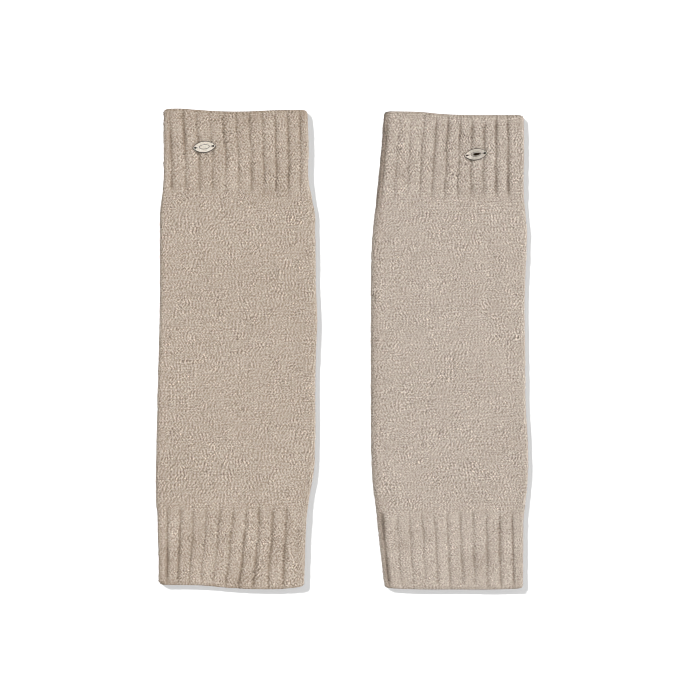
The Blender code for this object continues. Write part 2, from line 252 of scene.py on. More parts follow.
RIGHT = LegWarmer(
    outline=rows_of(Outline, [
        (-225.0, 40.3, 169.6),
        (-186.0, 35.8, 169.7),
        (-157.0, 32.6, 170.2),
        (-143.0, 30.9, 171.8),
        (-129.0, 29.1, 173.4),
        (-112.0, 28.0, 174.4),
        (-87.0, 27.3, 174.1),
        (-59.0, 27.2, 172.4),
        (0.0, 27.2, 171.5),
        (39.0, 27.2, 171.1),
        (67.0, 27.4, 171.8),
        (96.0, 28.1, 173.0),
        (110.0, 29.0, 173.4),
        (124.0, 30.5, 172.0),
        (138.0, 32.0, 170.8),
        (194.0, 37.4, 170.6),
        (222.0, 39.6, 170.2),
    ]),
    creases=rows_of(Crease, [
        (137.5, -60.0, 136.0, 132.0, 3.5, 0.70),
        (159.0, -134.0, 156.5, 40.0, 8.0, 0.75),
        (149.0, 112.0, 158.0, 130.0, 7.0, 0.60),
        (38.0, -122.0, 36.0, -82.0, 5.0, 0.45),
        (51.0, -96.0, 50.0, 90.0, 7.0, -0.30),
    ]),
    fold_shade=rows_of(FoldShade, [
        (-225.0, 0.70, 3.4),
        (-156.0, 0.70, 3.4),
        (-136.0, 0.45, 2.5),
        (124.0, 0.45, 2.5),
        (144.0, 1.5, -0.2),
        (225.0, 1.5, -0.2),
    ]),
    lower_cuff=Cuff(
        seam_y=-149.0,
        end_edge=rows_of(EndEdge, [
            (0.0, -224.2),
            (0.15, -225.0),
            (0.50, -225.3),
            (0.85, -225.2),
            (1.0, -224.6),
        ]),
        end_fade=8.0,
        grooves=rows_of(Grooves, [
            (-226.0, 55.4, 11.19, 0.06),
            (-214.0, 54.7, 11.25, 0.06),
            (-167.0, 51.9, 11.5, 0.05),
            (-149.0, 50.8, 11.6, 0.05),
        ]),
        groove_relief=(1.0, 0.37, 0.49, 0.56, 0.64, 0.69, 0.74, 0.58, 0.72, 0.97, 0.81, 0.1),
        pale_crowns=0.05,
        grain=0.60,
        end_shade=0.0,
    ),
    upper_cuff=Cuff(
        seam_y=137.0,
        end_edge=rows_of(EndEdge, [
            (0.0, 222.8),
            (0.26, 221.9),
            (0.40, 220.2),
            (0.56, 219.3),
            (1.0, 219.3),
        ]),
        end_fade=12.0,
        grooves=rows_of(Grooves, [
            (137.0, 48.2, 11.95, 0.0),
            (155.6, 49.7, 11.77, 0.0),
            (202.5, 53.4, 11.32, 0.0),
            (223.0, 55.0, 11.12, 0.0),
        ]),
        groove_relief=(1.1, 0.56, 0.40, 0.83, 1.0, 0.97, 0.83, 0.95, 0.83, 1.15, 1.2, 0.1),
        pale_crowns=0.03,
        grain=0.95,
        end_shade=0.0,
    ),
    plate=PlatePlace(125.2, 182.1, 7.6, 1.0),
    seed=23,
    grain=0.85,
)

# The sewn-on plates: rings of their surface, from the underside's middle over the rim and the raised
# oval to the level middle. Their painted shade darkens the underside, the rim and the oval's groove.
PlateRing = namedtuple("PlateRing", "half_length half_width sharpness height tarnish")
PLATE_RINGS = rows_of(PlateRing, [
    (0.0, 0.0, 0.55, 0.0, 0.6),
    (10.6, 5.0, 0.55, 0.0, 0.9),
    (11.0, 5.35, 0.55, 0.04, 1.0),
    (11.15, 5.5, 0.55, 0.15, 1.0),
    (11.15, 5.5, 0.55, 0.45, 1.0),
    (11.0, 5.38, 0.55, 0.6, 1.0),
    (10.7, 5.12, 0.55, 0.70, 0.8),
    (10.35, 4.85, 0.55, 0.76, 0.25),
    (9.9, 4.55, 0.55, 0.78, 0.0),
    (8.8, 4.0, 0.5, 0.79, 0.0),
    (5.8, 2.8, 0.2, 0.80, 0.0),
    (5.15, 2.35, 0.1, 0.77, 0.1),
    (4.85, 2.15, 0.05, 0.66, 0.8),
    (4.6, 1.95, 0.0, 0.66, 0.8),
    (4.35, 1.78, 0.0, 0.80, 0.2),
    (4.0, 1.6, 0.0, 1.00, 0.0),
    (3.2, 1.3, 0.0, 1.13, 0.0),
    (2.0, 0.8, 0.0, 1.19, 0.0),
    (0.0, 0.0, 0.0, 1.2, 0.0),
])
PLATE_POINTS = 96
PLATE_CLEARANCE = 0.3        # between a plate and the crowns of the ribs under it
PLATE_BASE = PLAIN_HEIGHT + RIB_RISE + PLATE_CLEARANCE
PLATE_HOLE_OFFSET = 8.5
PLATE_HOLE_RADIUS = 0.65
HOLE_POINTS = 24
HOLE_ROOM = 0.02             # how far outside a hole's wall its points are still dark
PLATE_DIMPLE = 0.45          # how far the cloth is drawn down round a plate
DIMPLE_LENGTH = 15.0         # half the dimple's length, along the plate, and half its width
DIMPLE_WIDTH = 9.0
SHARP_EDGE = 40              # degrees
STEM_RADIUS = 0.26           # the thread in a plate's hole
STEM_DEPTH = 0.9             # how far below the plate it starts
KNOT_RADIUS = 0.95
KNOT_HEIGHT = 0.86           # of its middle above the plate's underside
KNOT_HALF_HEIGHT = 0.24
STRANDS = 3                  # of the thread
STRAND_TWIST = 5             # radians a mm
STRAND_RELIEF = 0.08
KNOT_ROWS, KNOT_POINTS = 24, 18

# The painted dark reflection on the right plate: a streak, an ellipse that narrows to the right,
# with duller metal about it.
Streak = namedtuple("Streak", "middle half_length half_width narrowing")
STREAK = Streak(1.0, 4.7, 1.75, 0.18)
DULL = 0.38                  # how dark the painted reflection makes the duller metal
DULL_FROM = 8.5              # where it begins, left of the plate's middle
DULL_BLEND = 5.0
PLATE_FACE = 0.5             # above this height a point is on the plate's face

Stretch = namedtuple("Stretch", "part low high fibres")     # of a leg warmer, in courses
STRETCHES = rows_of(Stretch, [
    ("lower_cuff", 0, SEAM_LOW, 5500),
    ("leg", SEAM_LOW, SEAM_HIGH, 19000),
    ("upper_cuff", SEAM_HIGH, ALL_COURSES, 5500),
])


# ---------------------------------------- curves

def smooth(rows, column, along, at):
    """The value of a table's column where its column along is at: cubic pieces through the rows."""
    places = np.array([getattr(row, along) for row in rows])
    values = np.array([getattr(row, column) for row in rows])
    slopes = np.gradient(values, places)
    at = np.clip(at, places[0], places[-1])
    piece = np.clip(np.searchsorted(places, at) - 1, 0, len(places) - 2)
    step = places[piece + 1] - places[piece]
    t = (at - places[piece]) / step
    return (values[piece] * (1 + 2 * t) * (1 - t) ** 2
            + values[piece + 1] * (3 - 2 * t) * t ** 2
            + slopes[piece] * step * t * (1 - t) ** 2
            - slopes[piece + 1] * step * t ** 2 * (1 - t))


def ease(t):
    """0 below 0, 1 above 1, and 3t^2 - 2t^3 between."""
    t = np.clip(t, 0.0, 1.0)
    return t * t * (3 - 2 * t)


def uneven(kind, warmer, a, b):
    """A smooth uneven field over a and b, about -1 to 1 times its amount: seeded sines that run in all
    directions, 0.6 to 1.7 periods long.
    """
    rng = np.random.default_rng(warmer.seed + kind.seed)
    field = 0
    for _ in range(WAVES):
        turn, phase = rng.uniform(0, 2 * np.pi, 2)
        length = kind.period * rng.uniform(0.6, 1.7)
        field = field + np.sin((a * np.cos(turn) + b * np.sin(turn)) * 2 * np.pi / length + phase)
    return kind.amount * (field / np.sqrt(WAVES))


def whole(place):
    """The whole number at or below a place. A hundredth keeps rounding from dropping it by one."""
    return np.floor(place + 0.01).astype(int)


def unit(vectors):
    """The vectors at length 1."""
    return vectors / np.maximum(np.linalg.norm(vectors, axis=-1, keepdims=True), 1e-9)


# ---------------------------------------- the tube's form

def cuff_depth(cuff):
    """A cuff's length from its seam to its free end at the left fold."""
    return abs(cuff.end_edge[0].y - cuff.seam_y)


def groove_count(cuff):
    """The grooves on a cuff's top. Its relief has one more at each end, for those in the folds."""
    return len(cuff.groove_relief) - 2


def course_y(warmer, course):
    """The y of a course at the left fold: level steps within each of the three stretches."""
    return np.interp(course, (0, SEAM_LOW, SEAM_HIGH, ALL_COURSES),
                     (warmer.lower_cuff.end_edge[0].y, warmer.lower_cuff.seam_y,
                      warmer.upper_cuff.seam_y, warmer.upper_cuff.end_edge[0].y))


def rib_strength(y, cuff):
    """1 in the cuff's body, fading to 0 at its seam and in part at its bound-off end."""
    from_seam = (y - cuff.seam_y) * np.sign(cuff.seam_y)
    at_end = ease((cuff_depth(cuff) - from_seam) / cuff.end_fade)
    return ease(from_seam / RIB_FADE) * (END_STRENGTH + (1 - END_STRENGTH) * at_end)


def first_groove_wale(warmer):
    """The wale of the groove nearest the left fold: the grooves are centred on the top."""
    return (TOP_WALES - RIB_WALES * (groove_count(warmer.lower_cuff) - 1)) / 2


def rib_form(warmer, wale):
    """Height across the ribs: 0 in each groove and 1 on each crown. At phase p it is
    1 - ((1 + cos(2 pi p)) / 2) ^ squareness.
    """
    phase = (wale - first_groove_wale(warmer)) / RIB_WALES
    return 1 - ((1 + np.cos(2 * np.pi * phase)) / 2) ** RIB_SQUARENESS


def cuff_arc(warmer, cuff, y, wale, left, right, radius):
    """How far round the top a wale lies, from the left fold's middle.

    Between the outermost grooves the place follows the table of grooves, and outside them the
    wales share what is left of the arc evenly.
    """
    first_wale = first_groove_wale(warmer)
    number = np.clip((wale - first_wale) / RIB_WALES, 0, groove_count(cuff) - 1)
    rows, *columns = zip(*cuff.grooves)
    first, pitch, widening = [np.interp(y, rows, column) for column in columns]
    x = first + (pitch + widening * number) * number
    quarter = radius * np.pi / 2
    over = right - left - 2 * radius + 2 * quarter
    arc = x - left - radius + quarter
    before = np.clip(wale / first_wale, 0, 1)
    after = np.clip((wale - TOP_WALES + first_wale) / first_wale, 0, 1)
    return arc * before + (over - arc) * after


def wale_share(warmer, wale, y, radius):
    """A wale's share of the way over the top, 0 at the left fold's middle and 1 at the right's.

    It is even in the leg, and turns into each cuff's own shares as it comes near its seam.
    """
    share = wale / TOP_WALES
    for cuff, inward in ((warmer.lower_cuff, 1), (warmer.upper_cuff, -1)):
        inside = np.clip((y - cuff.seam_y) * inward, 0, None)
        own_y = np.where(inside > 0, cuff.seam_y, y)
        left, right = [smooth(warmer.outline, side, "y", own_y) for side in ("left", "right")]
        own = cuff_arc(warmer, cuff, own_y, wale, left, right, radius)
        own = own / (right - left - 2 * radius + np.pi * radius)
        share = share + (own - wale / TOP_WALES) * (1 - ease(inside / RIB_REACH))
    return share


def crease_depth(creases, x, y):
    """How far the creases lower the top: a bell across each crease's line, eased off at its ends."""
    depth = 0
    for crease in creases:
        t = (y - crease.y_low) / (crease.y_high - crease.y_low)
        line_x = crease.x_low + (crease.x_high - crease.x_low) * t
        along = np.clip(4 * t * (1 - t), 0, 1)
        depth = depth + crease.depth * ease(along) * np.exp(-((x - line_x) / crease.half_width) ** 2)
    return depth


def dimple(place, x, y):
    """How far the cloth is drawn down round a plate: 0 outside an ellipse, eased to 1 at 0.55 of it."""
    turn = np.radians(place.turn)
    along = (x - place.x) * np.cos(turn) + (y - place.y) * np.sin(turn)
    across = (y - place.y) * np.cos(turn) - (x - place.x) * np.sin(turn)
    return 1 - ease(np.hypot(along / DIMPLE_LENGTH, across / DIMPLE_WIDTH) * 2.2 - 1.2)


def stitch(wale, course, purl):
    """How far a stitch's row climbs there, in courses, and its height from 0 to 1.

    A knit stitch is a V: its two arms climb from its middle to its sides, each arm is round, and a
    gap runs along both sides and a shallower one up the middle. Its height is a quarter for the base,
    0.30 for a low arch over the whole stitch and 0.45 for the arms. A purl stitch is a bar that bows
    upwards.
    """
    side = np.abs((wale % 1) - 0.5) * 2
    climb = ARM_LEAN * (side + purl * (1.5 - 1.5 * side) - 0.5)
    arm = np.sin(np.pi * np.clip(side, 0, 1)) ** 0.8
    knit = 0.25 + 0.30 * (1 - side ** 2) + 0.45 * arm
    bar = 0.85 - 0.5 * side ** 2
    across = np.clip((1 - purl) * knit + purl * bar, 0, 1)
    along = 1 - np.abs(2 * (course % 1) - 1) ** 2.2
    return climb, (SIDE_GAP + (1 - SIDE_GAP) * across) * (ROW_GAP + (1 - ROW_GAP) * along)


def uneven_stitch(warmer, wale, course, purl):
    """A stitch's climb and height as knitted by machine and then brushed: no two quite alike.

    Each half of a stitch has its own seeded height and, but for its sides, its own climb. There is no
    climb at the free ends.
    """
    climb, height = stitch(wale, course, purl)
    rng = np.random.default_rng(warmer.seed)
    own = rng.uniform(-1, 1, (ALL_COURSES + 2, 2 * ROUND_WALES, 3))
    own = own[np.clip(whole(course), 0, ALL_COURSES), np.floor(2 * wale).astype(int)]
    height = height * (1 + HEIGHT_SPREAD * own[..., 0]) + HEIGHT_SHIFT * own[..., 1]
    climb = climb + CLIMB_SPREAD * own[..., 2] * (np.abs(wale % 1 - 0.5) < 0.4)
    climb = climb + uneven(COURSE_WAVE, warmer, wale, course)
    return climb * ease(np.minimum(course, ALL_COURSES - course) / 2), height


def yarn_tone_and_painted_crests(look, warmer, wale, course, stitch_height):
    """How light the yarn is, about -1 to 1: painted light on a stitch's crest and painted shade in
    its gaps, and brushed light and dark.

    The brushing is a wave one wale long, whose place and strength are seeded for each two wales and
    each of the look's rows in a course. A share of the rows before and after it is taken from it.
    """
    rng = np.random.default_rng(warmer.seed + BRUSH_SEED)
    start = rng.uniform(0, 1, (STEPS_ALONG * ALL_COURSES + 4, TOP_WALES))
    strength = rng.uniform(*BRUSH_STRENGTH, start.shape)
    row = whole(look.rows_per_course * course) + 2
    pair = np.floor(wale / 2).astype(int)
    own, below, above = [strength[at, pair] * np.cos(2 * np.pi * (wale + start[at, pair]))
                         for at in (row, row - 1, row + 1)]
    finely_stepped = (wale < TOP_WALES + FINE_UNDER) | (wale > ROUND_WALES - FINE_UNDER)
    brushed = (own - look.evened * (below + above)) * finely_stepped
    return look.crest * (stitch_height - 0.5) + look.brushed * brushed


Surface = namedtuple("Surface", "outer inner yarn shade")


def tube(warmer, wale, course):
    """The tube at arrays of wales and courses: points of the wall's outer and inner side, how light
    the yarn is, about 0, with painted light and shade on its stitches, and how much darker the cloth
    is painted: painted shade in grooves, at ends and at the left fold, less painted light on crowns.

    The flattened tube is a stadium round which the wales run: a level top, half-round folds and a
    level underside. On the outer side it is raised and lowered along its normal by the ribs, the
    creases, a dimple under the plate, an uneven lie and the stitches. The inner side is plain. At a
    free end both sides turn to the middle of the wall as a quarter circle.
    """
    wale = wale % ROUND_WALES
    under = wale > TOP_WALES
    top_wale = np.where(under, ROUND_WALES - wale, wale)
    row_y = course_y(warmer, course)
    strength = rib_strength(row_y, warmer.lower_cuff) + rib_strength(row_y, warmer.upper_cuff)
    radius = (PLAIN_HEIGHT + RIB_RISE * strength) / 2

    from_end = np.minimum(course, ALL_COURSES - course) * cuff_depth(warmer.upper_cuff) / CUFF_COURSES
    reach = np.clip(CORNER_RADIUS - from_end, 0, CORNER_RADIUS)
    inset = CORNER_RADIUS - np.sqrt(CORNER_RADIUS ** 2 - reach ** 2)
    left = smooth(warmer.outline, "left", "y", row_y) + inset
    right = smooth(warmer.outline, "right", "y", row_y) - inset

    share = wale_share(warmer, top_wale, row_y, radius)
    wander = uneven(WIDE_WANDER, warmer, wale, course) + uneven(FINE_WANDER, warmer, wale, course)
    share = share + wander * np.sin(np.pi * share)
    quarter = radius * np.pi / 2
    over = right - left - 2 * radius + 2 * quarter
    arc = share * over
    near_left, near_right = arc < quarter, arc > over - quarter
    turn = np.where(near_left, arc, np.where(near_right, over - arc, quarter)) / radius
    outward = np.where(near_left, -1, np.where(near_right, 1, 0)) * np.cos(turn)
    upward = np.sin(turn) * np.where(under, -1, 1)
    x = left + radius + np.clip(arc - quarter, 0, over - 2 * quarter) + radius * outward
    z = radius + radius * upward

    crown = rib_form(warmer, wale)
    in_upper = 0.0 + (row_y > 0)
    number = (top_wale - first_groove_wale(warmer)) / RIB_WALES
    looks = []
    for cuff in (warmer.lower_cuff, warmer.upper_cuff):
        numbers = np.arange(groove_count(cuff) + 2) - 1
        looks.append((np.interp(number, numbers, cuff.groove_relief), cuff.pale_crowns, cuff.grain,
                      cuff.end_shade))
    relief, crown_light, grain, end_shade = [low + (high - low) * in_upper for low, high in zip(*looks)]
    depth = np.clip(1 + uneven(GROOVE_WAVE, warmer, WALE_WIDTH * wale, row_y), *GROOVE_LIMITS)
    groove = strength * (1 - crown) * depth * relief
    is_rib = np.clip(strength, 0, 1)
    grain = warmer.grain + (grain - warmer.grain) * is_rib
    purl = is_rib * ease((PURL_BELOW - crown) / PURL_BLEND)
    climb, stitch_height = uneven_stitch(warmer, wale, course, purl)
    y = course_y(warmer, course + climb)
    across = np.clip((x - left) / (right - left), 0, 1)
    for cuff in (warmer.lower_cuff, warmer.upper_cuff):
        from_seam = np.clip((y - cuff.seam_y) * np.sign(cuff.seam_y), 0, None) / cuff_depth(cuff)
        own_end = smooth(cuff.end_edge, "y", "across", across)
        y = np.where(from_seam > 0, cuff.seam_y + (own_end - cuff.seam_y) * from_seam, y)

    off_table = ease(1 + upward)
    on_top = ease(upward * TOP_FALL)
    lowered = crease_depth(warmer.creases, x, y) + PLATE_DIMPLE * dimple(warmer.plate, x, y)
    lift = -(RIB_RISE + GROOVE_DROP) * groove * off_table
    lift = lift - lowered * on_top
    lift = lift + uneven(LIE, warmer, x, y) * on_top * (1 - CUFF_FLATNESS * is_rib)
    lift = lift + STITCH_RELIEF * (stitch_height - STITCH_LEVEL) * off_table
    outer = np.stack([x + lift * outward, y, np.maximum(z + lift * upward, 0.0)], -1)

    inner_x = np.clip(x, left + FOLD_WALL, right - FOLD_WALL)
    from_fold = np.minimum(inner_x - left, right - inner_x) - FOLD_WALL
    parted = MOUTH * ease(1 - from_end / MOUTH_DEPTH) * ease(from_fold / MOUTH_SIDE)
    half_gap = HOLLOW / 2 * ease(from_fold / WALL)
    inner_z = WALL + HOLLOW / 2 + np.where(under, -half_gap, half_gap + parted)
    inner = np.stack([inner_x, y, inner_z], -1)

    e = np.clip(from_end / EDGE_RADIUS, 0, 1)
    rounding = (1 - np.sqrt(1 - (1 - e) ** 2))[..., None]
    middle = (outer + inner) / 2
    outer = outer + (middle - outer) * rounding
    inner = inner + (middle - inner) * rounding * INNER_ROUNDING

    # Painted shade in the grooves, along the left fold and at the rounded ends, painted light on the
    # rib crowns, and a darker band at a cuff's end and the cuffs' uneven tone.
    rows, amounts, centres = zip(*warmer.fold_shade)
    from_shade = (x - left - np.interp(row_y, rows, centres)) / FOLD_SHADE_WIDTH
    fold_shade = np.interp(row_y, rows, amounts) * np.exp(-from_shade ** 2)
    shade = GROOVE_SHADE * groove - crown_light * strength * crown + FOLD_SHADE * fold_shade
    shade = shade + end_shade * ease(1.5 - from_end / END_BAND)
    shade = shade + EDGE_SHADE * ease(1 - from_end / EDGE_SHADE_DEPTH)
    shade = shade + uneven(CUFF_TONE, warmer, x, y) * is_rib
    in_leg, in_cuff = [yarn_tone_and_painted_crests(look, warmer, wale, course, stitch_height)
                       for look in (LEG_YARN, CUFF_YARN)]
    yarn = grain * (in_leg + (in_cuff - in_leg) * is_rib)
    return Surface(outer, inner, yarn, shade)


# ---------------------------------------- meshes

def new_mesh(name, points, faces):
    """A smooth mesh of points in millimetres and an array of faces, all triangles or all quads."""
    corners = faces.shape[1]
    mesh = bpy.data.meshes.new(name)
    mesh.vertices.add(len(points))
    mesh.vertices.foreach_set("co", (points * MM).astype(np.float32).ravel())
    mesh.loops.add(faces.size)
    mesh.loops.foreach_set("vertex_index", faces.astype(np.int32).ravel())
    mesh.polygons.add(len(faces))
    mesh.polygons.foreach_set("loop_start", np.arange(0, faces.size, corners, dtype=np.int32))
    mesh.update(calc_edges=True)
    mesh.shade_smooth()
    return mesh


def placed(name, data):
    """A new object with this data in the scene."""
    made = bpy.data.objects.new(name, data)
    bpy.context.scene.collection.objects.link(made)
    return made


def grid_faces(rows, columns, closed_rows):
    """The quads of a grid of points that is closed round its columns, and round its rows if asked.

    Half of them, seeded, start at their second corner, so that no one diagonal runs through the grid.
    """
    i = np.arange(rows if closed_rows else rows - 1)[:, None]
    j = np.arange(columns)[None, :]
    corners = [(i, j), (i, j + 1), (i + 1, j + 1), (i + 1, j)]
    faces = np.stack([(a % rows) * columns + b % columns for a, b in corners], -1).reshape(-1, 4)
    turned = np.random.default_rng(FACE_SEED).random(len(faces)) < 0.5
    faces[turned] = np.roll(faces[turned], 1, axis=1)
    return faces


def new_piece(name, mesh, material):
    """An object at the origin that rides with the part's one body."""
    mesh.materials.append(material)
    piece = placed(name, mesh)
    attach(piece, "root")
    return piece


def add_values(mesh, name, values):
    """A value for each point of a mesh, for its material to read."""
    made = mesh.attributes.new(name, "FLOAT", "POINT")
    made.data.foreach_set("value", values.astype(np.float32).ravel())


def wale_columns():
    """The wales at which the mesh has a column: fine on top and round the folds, coarse underneath."""
    fine = 1 / STEPS_ACROSS
    return np.concatenate([
        np.arange(0, TOP_WALES + FINE_UNDER, fine),
        np.arange(TOP_WALES + FINE_UNDER, ROUND_WALES - FINE_UNDER, 2),
        np.arange(ROUND_WALES - FINE_UNDER, ROUND_WALES, fine),
    ])


def course_rows(low, high):
    """The courses at which the mesh has a row, closer together at a free end."""
    rows = np.linspace(low, high, (high - low) * STEPS_ALONG + 1)
    close = np.array(END_STEPS)
    if low == 0:
        rows = np.append(rows, close)
    if high == ALL_COURSES:
        rows = np.append(rows, high - close)
    return np.sort(rows)


def knit_stretch(name, warmer, low, high, material):
    """One stretch of the tube as a closed wall: its outer side, and its inner side turned back, which
    has fewer rows.
    """
    wales = wale_columns()
    courses = course_rows(low, high)
    count, ends = len(courses), INNER_END_ROWS
    between = np.linspace(ends, count - ends - 1, INNER_ROWS).astype(int)
    picked = np.unique(np.r_[0:ends, between, count - ends:count])
    outside = tube(warmer, *np.meshgrid(wales, courses))
    inside = tube(warmer, *np.meshgrid(wales, courses[picked][::-1]))
    points = np.concatenate([outside.outer, inside.inner])
    rows, columns = points.shape[:2]
    mesh = new_mesh(name, points.reshape(-1, 3), grid_faces(rows, columns, True))
    add_values(mesh, "yarn", np.concatenate([outside.yarn, inside.yarn]))
    add_values(mesh, "shade", np.concatenate([outside.shade, inside.shade]))
    return new_piece(name, mesh, material)


def flat_size(warmer, low, high):
    """A stretch cut open along a fold and laid flat: its width all round and its length, in metres."""
    y = course_y(warmer, np.linspace(low, high, 50))
    width = smooth(warmer.outline, "right", "y", y) - smooth(warmer.outline, "left", "y", y)
    return np.mean(2 * (width - PLAIN_HEIGHT) + np.pi * PLAIN_HEIGHT) * MM, (y[-1] - y[0]) * MM


def nap(name, warmer, low, high, count, material):
    """Loose fibres on one stretch: bent closed spindles, most of them lying along the cloth.

    A fibre runs from its root to its tip along the surface, in stitch coordinates. Its middle and tip
    are lifted off it along the wall's thickness, higher for the fibres that stand up.
    """
    rng = np.random.default_rng([warmer.seed, low])
    wale = rng.uniform(-NAP_PAST_FOLD, TOP_WALES + NAP_PAST_FOLD, count)
    course = rng.uniform(low, high, count)
    turn = rng.uniform(0, 2 * np.pi, count)
    length = rng.uniform(*FIBRE_LENGTH, count)
    run_wale = length * np.cos(turn) / WALE_WIDTH
    run_course = length * np.sin(turn) / COURSE_HEIGHT
    stands = (rng.uniform(0, 1, count) ** LYING_FIBRES)[:, None]
    thickness = rng.uniform(*FIBRE_RADIUS, count)[:, None]

    def along(t):
        """Points of the cloth a share t of the way along the fibres, and the way out of it there."""
        at = np.clip(course + run_course * t, low + FIBRE_MARGIN, high - FIBRE_MARGIN)
        surface = tube(warmer, wale + run_wale * t, at)
        return surface.outer, unit(surface.outer - surface.inner)

    (root, out), (middle, middle_out), (tip, tip_out) = [along(t) for t in (0.0, 0.5, 1.0)]
    root = root - FIBRE_ROOT * out
    middle = middle + (FIBRE_MIDDLE[0] + FIBRE_MIDDLE[1] * stands) * middle_out
    tip = tip + (FIBRE_TIP[0] + FIBRE_TIP[1] * stands) * tip_out
    side = unit(np.cross(tip - root, middle_out))
    back = np.cross(side, unit(tip - root))
    ring = [middle + thickness * (np.cos(a) * side + np.sin(a) * back)
            for a in np.radians([90, 210, 330])]
    points = np.stack([root, *ring, tip], 1)
    points[..., 2] = np.maximum(points[..., 2], FIBRE_FLOOR)
    spindle = np.array([(0, 2, 1), (0, 3, 2), (0, 1, 3), (4, 1, 2), (4, 2, 3), (4, 3, 1)])
    faces = spindle[None] + 5 * np.arange(count)[:, None, None]
    mesh = new_mesh(name, points.reshape(-1, 3), faces.reshape(-1, 3))
    return new_piece(name, mesh, material)


# ---------------------------------------- plates and thread

def on_plate(place, points):
    """Points of a plate's own frame, turned and moved to where the plate lies."""
    turn = np.radians(place.turn)
    x, y, z = np.moveaxis(points, -1, 0)
    return np.stack([place.x + x * np.cos(turn) - y * np.sin(turn),
                     place.y + x * np.sin(turn) + y * np.cos(turn), PLATE_BASE + z], -1)


def angles(count):
    """Evenly spaced angles all round, in radians."""
    return 2 * np.pi * np.arange(count) / count


def hole_drill(x):
    """A cylinder where a plate has its hole, from below the plate to above it."""
    turn = angles(HOLE_POINTS)
    across, along = PLATE_HOLE_RADIUS * np.cos(turn), PLATE_HOLE_RADIUS * np.sin(turn)
    rim = np.stack([x + across, along, 0 * turn], -1)
    axis = np.array((x, 0.0, 0.0)) + 0 * rim
    points = np.stack([ring + (0, 0, z) for ring, z in ((axis, -1), (rim, -1), (rim, 2), (axis, 2))])
    return placed("drill", new_mesh("drill", points.reshape(-1, 3), grid_faces(4, HOLE_POINTS, False)))


def plate_mesh(name, place):
    """A plate: its rings, each an ellipse drawn to a point at both ends by its sharpness, drilled at
    both ends. Painted shade darkens it in the holes and where its rings say, and a painted dark
    reflection in the streak and duller metal of a plate that has one.
    """
    turn = angles(PLATE_POINTS)
    sharp = np.abs(np.sin(turn))
    points = np.stack([np.stack([ring.half_length * np.cos(turn),
                                 ring.half_width * np.sin(turn) * sharp ** ring.sharpness,
                                 np.full_like(turn, ring.height)], -1) for ring in PLATE_RINGS])
    rows, columns = points.shape[:2]
    uncut = placed(name, new_mesh(name, points.reshape(-1, 3), grid_faces(rows, columns, False)))
    drills = [hole_drill(x) for x in (-PLATE_HOLE_OFFSET, PLATE_HOLE_OFFSET)]
    for drill in drills:
        cut = uncut.modifiers.new("hole", "BOOLEAN")
        cut.operation, cut.solver, cut.object = "DIFFERENCE", "EXACT", drill
    plate = bpy.data.meshes.new_from_object(uncut.evaluated_get(bpy.context.evaluated_depsgraph_get()))
    plate.name = name
    for spent in (uncut, *drills):
        bpy.data.objects.remove(spent)

    flat = np.empty(3 * len(plate.vertices), np.float32)
    plate.vertices.foreach_get("co", flat)
    own = flat.reshape(-1, 3) / MM
    x, y, z = own.T
    nearest = np.argmin(((own[:, None] - points.reshape(1, -1, 3)) ** 2).sum(-1), -1)
    tarnish = np.array([ring.tarnish for ring in PLATE_RINGS])[nearest // columns]
    # painted shade in the holes, on their walls and just outside them
    in_hole = np.hypot(np.abs(x) - PLATE_HOLE_OFFSET, y) < PLATE_HOLE_RADIUS + HOLE_ROOM
    # the painted dark reflection: a streak and duller metal on a plate's face
    half_width = STREAK.half_width - STREAK.narrowing * x
    streak = ease(3 - 3 * np.hypot((x - STREAK.middle) / STREAK.half_length, y / half_width))
    dark = np.maximum(DULL * ease((x + DULL_FROM) / DULL_BLEND), streak) * (z > PLATE_FACE)
    tarnish = np.maximum(tarnish, place.darkness * dark)
    add_values(plate, "tarnish", np.where(in_hole, 1.0, tarnish))
    plate.vertices.foreach_set("co", (on_plate(place, own) * MM).astype(np.float32).ravel())
    plate.shade_smooth()
    plate.set_sharp_from_angle(angle=np.radians(SHARP_EDGE))
    return plate


def knots(name, place, material):
    """The thread that holds a plate: a stem up through each hole, ending in a knot of strands."""
    height = np.linspace(-STEM_DEPTH, KNOT_HEIGHT + KNOT_HALF_HEIGHT, KNOT_ROWS)[:, None]
    turn = angles(KNOT_POINTS)
    ball = KNOT_RADIUS * np.sqrt(np.clip(1 - ((height - KNOT_HEIGHT) / KNOT_HALF_HEIGHT) ** 2, 0, 1))
    strands = 1 + STRAND_RELIEF * np.cos(STRANDS * turn + STRAND_TWIST * height)
    radius = np.maximum(ball, STEM_RADIUS * (height < KNOT_HEIGHT)) * strands
    radius[[0, -1]] = 0.0
    points = np.stack([np.stack([end * PLATE_HOLE_OFFSET + radius * np.cos(turn), radius * np.sin(turn),
                                 height + 0 * turn], -1) for end in (-1, 1)])
    rows, columns = points.shape[1:3]
    faces = grid_faces(rows, columns, False)
    faces = np.concatenate([faces, faces + rows * columns])
    mesh = new_mesh(name, on_plate(place, points).reshape(-1, 3), faces)
    return new_piece(name, mesh, material)


# ---------------------------------------- materials

def set_inputs(tree, made, inputs):
    """Each of these inputs of a node becomes a value, or is linked to another node's output."""
    for key, value in inputs.items():
        if isinstance(value, bpy.types.NodeSocket):
            tree.links.new(value, made.inputs[key])
        else:
            made.inputs[key].default_value = value


def node(tree, kind, inputs=None, **settings):
    """A new node with these settings and inputs."""
    made = tree.nodes.new(kind)
    for key, value in settings.items():
        setattr(made, key, value)
    set_inputs(tree, made, inputs or {})
    return made


def maths(tree, operation, *values):
    """The result of a maths operation on values or sockets."""
    return node(tree, "ShaderNodeMath", dict(enumerate(values)), operation=operation).outputs[0]


def value_of(tree, name):
    """The value that add_values gave each point under this name."""
    return node(tree, "ShaderNodeAttribute", attribute_name=name).outputs["Fac"]


